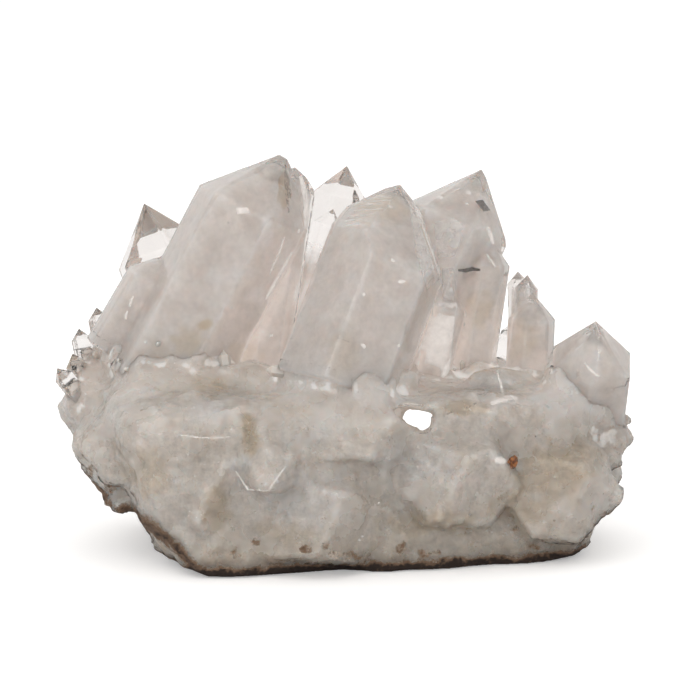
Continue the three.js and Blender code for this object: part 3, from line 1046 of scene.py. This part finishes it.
def makeMatrix():
    bm = mergedShape("matrix")
    for node in crystalNodes:
        addPlug(bm, node)
    dice = np.random.default_rng(collarSetup["seed"])
    for centre, radii in rootLumps:
        addLump(bm, centre, radii, dice)
    for node in crystalNodes:
        addCollar(bm, node, dice)
    piece = addObject("matrix_body", toMesh(bm, "matrix_body"))
    voxelRemesh(piece, matrixSetup["voxel"])
    points = readPoints(piece.data)
    edges = readEdges(piece.data)
    reach = matrixSetup["filletReach"]
    toMatrix, facing = distances(matrixTree, points, 4 * reach)
    toCrystal, facing = distances(crystalTree, points, 4 * reach)
    crease = np.exp(-(np.maximum(toMatrix, toCrystal) / reach) ** 2)
    crease[points[:, 2] < 1.5 * mm] = 0
    points = relaxed(points, edges, 0.6 * crease, matrixSetup["filletTurns"])
    brow = ramp(points[:, 2], 30 * mm, 34 * mm) * (1 - ramp(points[:, 2], 42 * mm, 46 * mm))
    brow *= 1 - ramp(points[:, 1], -24 * mm, -14 * mm)
    fromGap = np.abs(points[:, 0] - matrixSetup["gapAt"])
    brow *= ramp(fromGap, 5 * mm, 9 * mm)
    points = relaxed(points, edges, 0.6 * brow, matrixSetup["browTurns"])
    writePoints(piece.data, points)
    normals = readNormals(piece.data)
    lift = np.zeros(len(points))
    for size, steepness, seed in matrixSetup["facets"]:
        lift += facetLift(points, size * mm, steepness, seed)
    for size, height, seed in matrixSetup["grain"]:
        lift += height * mm * noiseAt(points, size * mm, seed)
    toMatrix, facing = distances(matrixTree, points, reach)
    toCrystal, facing = distances(crystalTree, points, reach)
    rooted = (toCrystal < 0.5 * mm) * ramp(toMatrix, 1.0 * mm, 2.6 * mm)
    lift *= (1 - rooted) * (1 - 0.5 * calmNear(points))
    lift *= ramp(points[:, 2], 0.3 * mm, 2 * mm)
    points = points + normals * lift[:, None] - facing * (rooted * matrixSetup["sinkDepth"])[:, None]
    writePoints(piece.data, points)
    makeMatrixCloud(piece)
    makeShadeAndStain(piece)
    return finishPiece(piece, quartzSkin("matrixQuartz", matrixQuartz), "matrix", "matrix")


matrixSkin = makeMatrix()
print("matrix ready")


# finishes of the leaves, flakes and specks: healed cracks white against the milk, with painted glow that
# makes glints of them, and stains
paleMottle = {"scale": 260.0, "detail": 3.0, "clears": (0.3, 0.7), "positions": (0.0, 1.0),
              "roughness": 0.7}
stainMottle = {"scale": 1100.0, "detail": 6.0, "clears": (0.42, 0.58), "positions": (0.35, 0.65),
               "roughness": 0.8}
paleTones = ((0.86, 0.82, 0.79, 1), (1.0, 0.98, 0.96, 1))
rustTones = ((0.15, 0.04, 0.012, 1), (0.46, 0.20, 0.08, 1))
umberTones = ((0.30, 0.22, 0.15, 1), (0.50, 0.41, 0.32, 1))
sootTones = ((0.05, 0.04, 0.03, 1), (0.16, 0.13, 0.11, 1))


def mottled(name, setup, tones, alpha, light=None):
    # two tones, its alpha and a little painted glow of its own, all by one noise
    material, tree, shader = newMaterial(name)
    links = tree.links
    coords = addNode(tree, "ShaderNodeTexCoord").outputs["Object"]
    mottle = ownNoise(tree, coords, setup["scale"], setup["detail"])
    tint = colourRamp(tree, mottle, *zip(setup["positions"], tones))
    links.new(tint, shader.inputs["Base Color"])
    links.new(rangeOf(tree, mottle, *setup["clears"], *alpha), shader.inputs["Alpha"])
    if light:
        links.new(tint, shader.inputs["Emission Color"])
        shader.inputs["Emission Strength"].default_value = light
    shader.inputs["Roughness"].default_value = setup["roughness"]
    return material


# painted glow: the white flecks and hazes give off light of their own, as painted glints and highlights
paleWithGlint = mottled("paleFleckWithGlint", paleMottle, paleTones, (0.35, 0.9), light=0.25)
hazeWithGlow = mottled("paleHazeWithGlow", paleMottle, paleTones, (0.1, 0.5), light=0.1)
rust = mottled("ironStain", stainMottle, rustTones, (0.6, 1.0))
umber = mottled("umberHaze", stainMottle, umberTones, (0.0, 0.55))
soot = mottled("darkSpeck", stainMottle, sootTones, (0.5, 1.0))
frontTree = treeOf(matrixSkin, *skinOf.values())


def thicken(bm, thickness):
    # makes a sheet a closed plate with its faces outwards
    bm.normal_update()
    bmesh.ops.solidify(bm, geom=bm.faces[:], thickness=thickness)
    bmesh.ops.recalc_face_normals(bm, faces=bm.faces)
    if bm.calc_volume(signed=True) < 0:
        bmesh.ops.reverse_faces(bm, faces=bm.faces)


def makeLeaf(name, outline, depth, material, slot):
    # a thin sealed leaf that follows the faces over it, its outline given as seen from the front
    bm = bmesh.new()
    face = bm.faces.new([bm.verts.new((x, 0, z)) for x, z in outline])
    bmesh.ops.triangulate(bm, faces=[face])
    bmesh.ops.subdivide_edges(bm, edges=bm.edges, cuts=3, use_grid_fill=True)
    lost = []
    for vert in bm.verts:
        place, normal = seenFromFront(frontTree, vert.co.x, vert.co.z)
        if place is None:
            lost.append(vert)
        else:
            vert.co = place - normal * depth * mm
    bmesh.ops.delete(bm, geom=lost, context="VERTS")
    thicken(bm, 0.06 * mm)
    return finishPiece(addObject(name, toMesh(bm, name)), material, slot)


def ribbon(points, width):
    # the outline of a crack along these points, widest in the middle
    left, right = [], []
    count = len(points)
    for k, (x, z) in enumerate(points):
        before, after = points[max(0, k - 1)], points[min(count - 1, k + 1)]
        run = Vector((after[0] - before[0], after[1] - before[1])).normalized()
        half = width * (0.25 + 0.75 * math.sin(math.pi * (k + 0.5) / count)) / 2
        left.append((x - run.y * half, z + run.x * half))
        right.append((x + run.y * half, z - run.x * half))
    return left + right[::-1]


def around(x, z, wide, high, corners=9, seed=1):
    # an uneven round patch
    dice = np.random.default_rng(seed)
    outline = []
    for k in range(corners):
        angle = 2 * math.pi * k / corners
        reach = dice.uniform(0.7, 1.1)
        outline.append((x + wide * reach * math.cos(angle), z + high * reach * math.sin(angle)))
    return outline


# outline as seen from the front and depth under the face, in mm, and finish
leaves = {
    # a fracture plane in the left crystal, with its reflection painted white on it
    "left_window": ([(-25.2, 82.2), (-22.2, 82.4), (-21.9, 80.9), (-24.9, 80.6)], 0.3, paleWithGlint),
    "left_sliver": (ribbon([(-9.6, 90), (-8.6, 86), (-8.1, 81), (-8.2, 77)], 1.5), 0.3, paleWithGlint),
    "left_streak_1": (ribbon([(-11.6, 71.3), (-13.6, 67.6), (-15.8, 64), (-17.9, 60.3)], 0.8), 0.3,
                      paleWithGlint),
    "left_streak_2": (ribbon([(-15.7, 63.7), (-17, 61.6), (-18.1, 59.8)], 0.7), 0.2, paleWithGlint),
    "left_seam": (ribbon([(-13.2, 92.5), (-13.2, 88.6), (-12.8, 84.6), (-12.4, 81)], 0.7), 0.25, umber),
    "right_triangle": ([(32.5, 83.9), (34.3, 84.2), (36.3, 81.6), (34.6, 81.3)], 0.3, soot),
    "right_bar": (ribbon([(28.6, 67.0), (30.4, 66.9), (32, 67.3), (33.7, 67.1)], 1.0), 0.3, soot),
    "right_streak_1": (ribbon([(35.6, 77.6), (36.4, 75.4), (37.0, 73.4)], 1.1), 0.3, paleWithGlint),
    "right_streak_2": (ribbon([(35.4, 71), (36.6, 69.4), (37.6, 67.8)], 0.6), 0.3, paleWithGlint),
    "right_haze": ([(22.4, 78.5), (27.4, 80), (29.6, 75.5), (27.6, 70.5), (23.6, 70)], 0.45, hazeWithGlow),
    # painted highlights on the centre crystal
    "centre_fleck_1": (around(14.8, 64.3, 1.1, 0.5, 7, 21), 0.2, paleWithGlint),
    "centre_fleck_2": (around(5.7, 61.3, 0.5, 0.6, 7, 22), 0.2, paleWithGlint),
    "left_streak_3": (ribbon([(-13.5, 74.9), (-14.8, 71), (-16.4, 67.8), (-17, 65.9)], 0.6), 0.3, paleWithGlint),
    "left_streak_4": (ribbon([(-9.9, 64.2), (-10.4, 61.8), (-11, 59.5)], 0.7), 0.3, paleWithGlint),
    # painted highlights on the left companion crystal
    "left_companion_fleck_1": (ribbon([(-50.3, 60.6), (-51, 59.4), (-51.2, 58.2)], 0.8), 0.25, paleWithGlint),
    "left_companion_fleck_2": (ribbon([(-51.8, 57), (-52.2, 56), (-52.2, 55)], 0.6), 0.25, paleWithGlint),
    "centre_face": ([(16.3, 85.4), (19.1, 81.6), (24.2, 66.6), (23.8, 64.6), (20.9, 61.9),
                     (18.4, 71.2)], 0.4, hazeWithGlow),
    "far_right_arc": (ribbon([(59.4, 44.4), (60.6, 42.8), (62, 41.6), (63.4, 41)], 0.7), 0.3, paleWithGlint),
    # a painted highlight on the far right crystal
    "far_right_fleck": (ribbon([(62.6, 48), (63.1, 46.6), (62.7, 45)], 0.4), 0.3, paleWithGlint),
    "right_patch": ([(26.4, 78.8), (28.6, 79.2), (30.0, 77.4), (28.2, 76.0), (26.8, 76.8)], 0.3, hazeWithGlow),
    "right_pillar": ([(24.6, 67.5), (27.4, 67.7), (28.2, 63), (27.2, 59.5), (24.8, 60.2)], 0.3, hazeWithGlow),
    "window_face": ([(22.9, 59.1), (28.3, 59.1), (27.0, 48.5), (26.6, 42.4), (25.2, 40.6),
                     (18.8, 43.9), (18.9, 46.8)], 0.25, paleWithGlint),
    "matrix_crack": (ribbon([(25.2, 31.3), (28, 32.6), (30.6, 33.2), (33.2, 34.5)], 0.6), 0.15, umber),
    "matrix_ledge": (ribbon([(36.6, 34.3), (39.4, 35.2), (41.4, 35.9), (43.2, 35.6)], 1.4), 0.12, paleWithGlint),
    "matrix_streak": (ribbon([(38.1, 42.6), (38.9, 39.6), (39.8, 36.4)], 0.6), 0.12, paleWithGlint),
    "matrix_outline": (ribbon([(-25.7, 17.5), (-22.8, 12.9), (-17.9, 12.6), (-13.5, 18.7)], 0.5), 0.12,
                       paleWithGlint),
    "rust_spot": (around(42.2, 19.8, 1.3, 1.8, 10, 7), -0.03, rust),
    "rust_ledge": (around(39.2, 20.2, 1.7, 1.0, 8, 9), 0.12, paleWithGlint),
    "crack_line": (ribbon([(-39.8, 26.6), (-35, 25.9), (-31, 25.7), (-26.9, 26.1)], 0.35), 0.1, paleWithGlint),
}
# faint growth lines across the centre crystal's cap: left end, right end and height, in mm
growthLines = [(6.8, 12, 84.6), (5.4, 12.5, 83.6), (4.4, 9.5, 82.7), (3.2, 10, 81.5),
               (2, 8, 80.2), (1.2, 6, 79), (0.6, 4.5, 77.8)]
for k, (start, end, z) in enumerate(growthLines):
    line = [(start, z), ((start + end) / 2, z + 0.3), (end, z + 0.5)]
    leaves["growth_line_%d" % k] = (ribbon(line, 0.32), 0.25, hazeWithGlow)
for name, (outline, depth, material) in leaves.items():
    makeLeaf(name, outline, depth, material, "milky_quartz" if material in (paleWithGlint, hazeWithGlow) else "matrix")
print("leaves ready")


def flakeShape():
    # a thin uneven plate of about unit size
    bm = bmesh.new()
    corners = [(-0.5, -0.2), (-0.1, -0.45), (0.45, -0.3), (0.5, 0.15), (0.1, 0.4), (-0.4, 0.25)]
    bm.faces.new([bm.verts.new((x, y, 0)) for x, y in corners])
    thicken(bm, 0.08)
    return addObject("flakeShape", outwardMesh(bm, "flakeShape"))


pointSizes = {"tip": 2.2, "root": -1.2, "radius": 0.75, "capSlope": 51.8}


def pointShape():
    # a small quartz point with its root below the origin: six sides, six cap faces and a square foot
    bm = bmesh.new()
    tip, radius = pointSizes["tip"], pointSizes["radius"]
    across = radius / math.cos(math.radians(30))
    shoulder = tip - radius * math.tan(math.radians(pointSizes["capSlope"]))
    angles = [math.radians(60 * k - 60) for k in range(6)]
    upper, lower = [[bm.verts.new((across * math.cos(a), across * math.sin(a), z)) for a in angles]
                    for z in (shoulder, pointSizes["root"])]
    top = bm.verts.new((0, 0, tip))
    for k in range(6):
        following = (k + 1) % 6
        bm.faces.new((upper[k], upper[following], top))
        bm.faces.new((lower[k], lower[following], upper[following], upper[k]))
    bm.faces.new(reversed(lower))
    return addObject("pointShape", outwardMesh(bm, "pointShape"))


# how densely each kind is scattered, per square metre, and its sizes
flakes = {"Density": 40000.0, "Smallest": 0.12 * mm, "Largest": 0.65 * mm, "Depth": 0.1 * mm,
          "Lean": 0.7, "Seed": 5}
veils = {"Density": 24000.0, "Smallest": 0.2 * mm, "Largest": 1.5 * mm, "Depth": -0.12 * mm,
         "Lean": 0.5, "Seed": 6}
specks = {"Density": 2600.0, "Smallest": 0.12 * mm, "Largest": 0.4 * mm, "Depth": 0.12 * mm,
          "Lean": 0.5, "Seed": 8}
druse = {"Density": 9000.0, "Smallest": 0.5 * mm, "Largest": 1.7 * mm, "Depth": 0.0,
         "Lean": 0.5, "Seed": 12}
druseMilk = {"colour": (0.54, 0.51, 0.475, 1), "scatter": 3 * mm, "roughness": 0.3}


def druseMaterial():
    # milky all through, for points too small to see into
    material, tree, shader = newMaterial("pointMilk")
    shader.inputs["Base Color"].default_value = druseMilk["colour"]
    shader.inputs["Subsurface Weight"].default_value = 1.0
    shader.inputs["Subsurface Radius"].default_value = milkRadius
    shader.inputs["Subsurface Scale"].default_value = druseMilk["scatter"]
    shader.inputs["Roughness"].default_value = druseMilk["roughness"]
    shader.inputs["IOR"].default_value = quartzIor
    return material


milkPoint = druseMaterial()
spreader = scatterTree()
flake = flakeShape()
small = pointShape()
skinPoints = readPoints(matrixSkin.data)
patch = ramp(noiseAt(skinPoints, 9 * mm, 51), 0.0, 0.5)
everywhere = np.ones(len(skinPoints))
# white flakes with painted glow, as glints over the matrix
scatter("matrix_flakes", matrixSkin.data, patch, flake, spreader, paleWithGlint, "matrix", flakes)
scatter("matrix_specks", matrixSkin.data, everywhere, flake, spreader, soot, "matrix", specks)
# white veils inside the large crystals, with painted glow
for node in ("main_left_crystal", "centre_crystal", "right_crystal", "far_right_crystal"):
    cloud = cloudOf[node].data
    streaky = noiseAt(readPoints(cloud), 8 * mm, 55)
    scatter(node + "_veils", cloud, ramp(streaky, 0.0, 0.5) * 0.8 + 0.1, flake, spreader, paleWithGlint,
            slotOf[node], veils)
nearCrystal, facing = distances(crystalTree, skinPoints, 8 * mm)
upward = readNormals(matrixSkin.data)[:, 2]
foot = (1 - ramp(nearCrystal, 1 * mm, 7 * mm)) * ramp(upward, -0.2, 0.4)
foot *= ramp(skinPoints[:, 2], 18 * mm, 28 * mm) * ramp(noiseAt(skinPoints, 7 * mm, 61), -0.2, 0.3)
scatter("druse", matrixSkin.data, foot, small, spreader, milkPoint, "milky_quartz", druse)
bpy.data.objects.remove(flake)
bpy.data.objects.remove(small)
print("scatter ready")
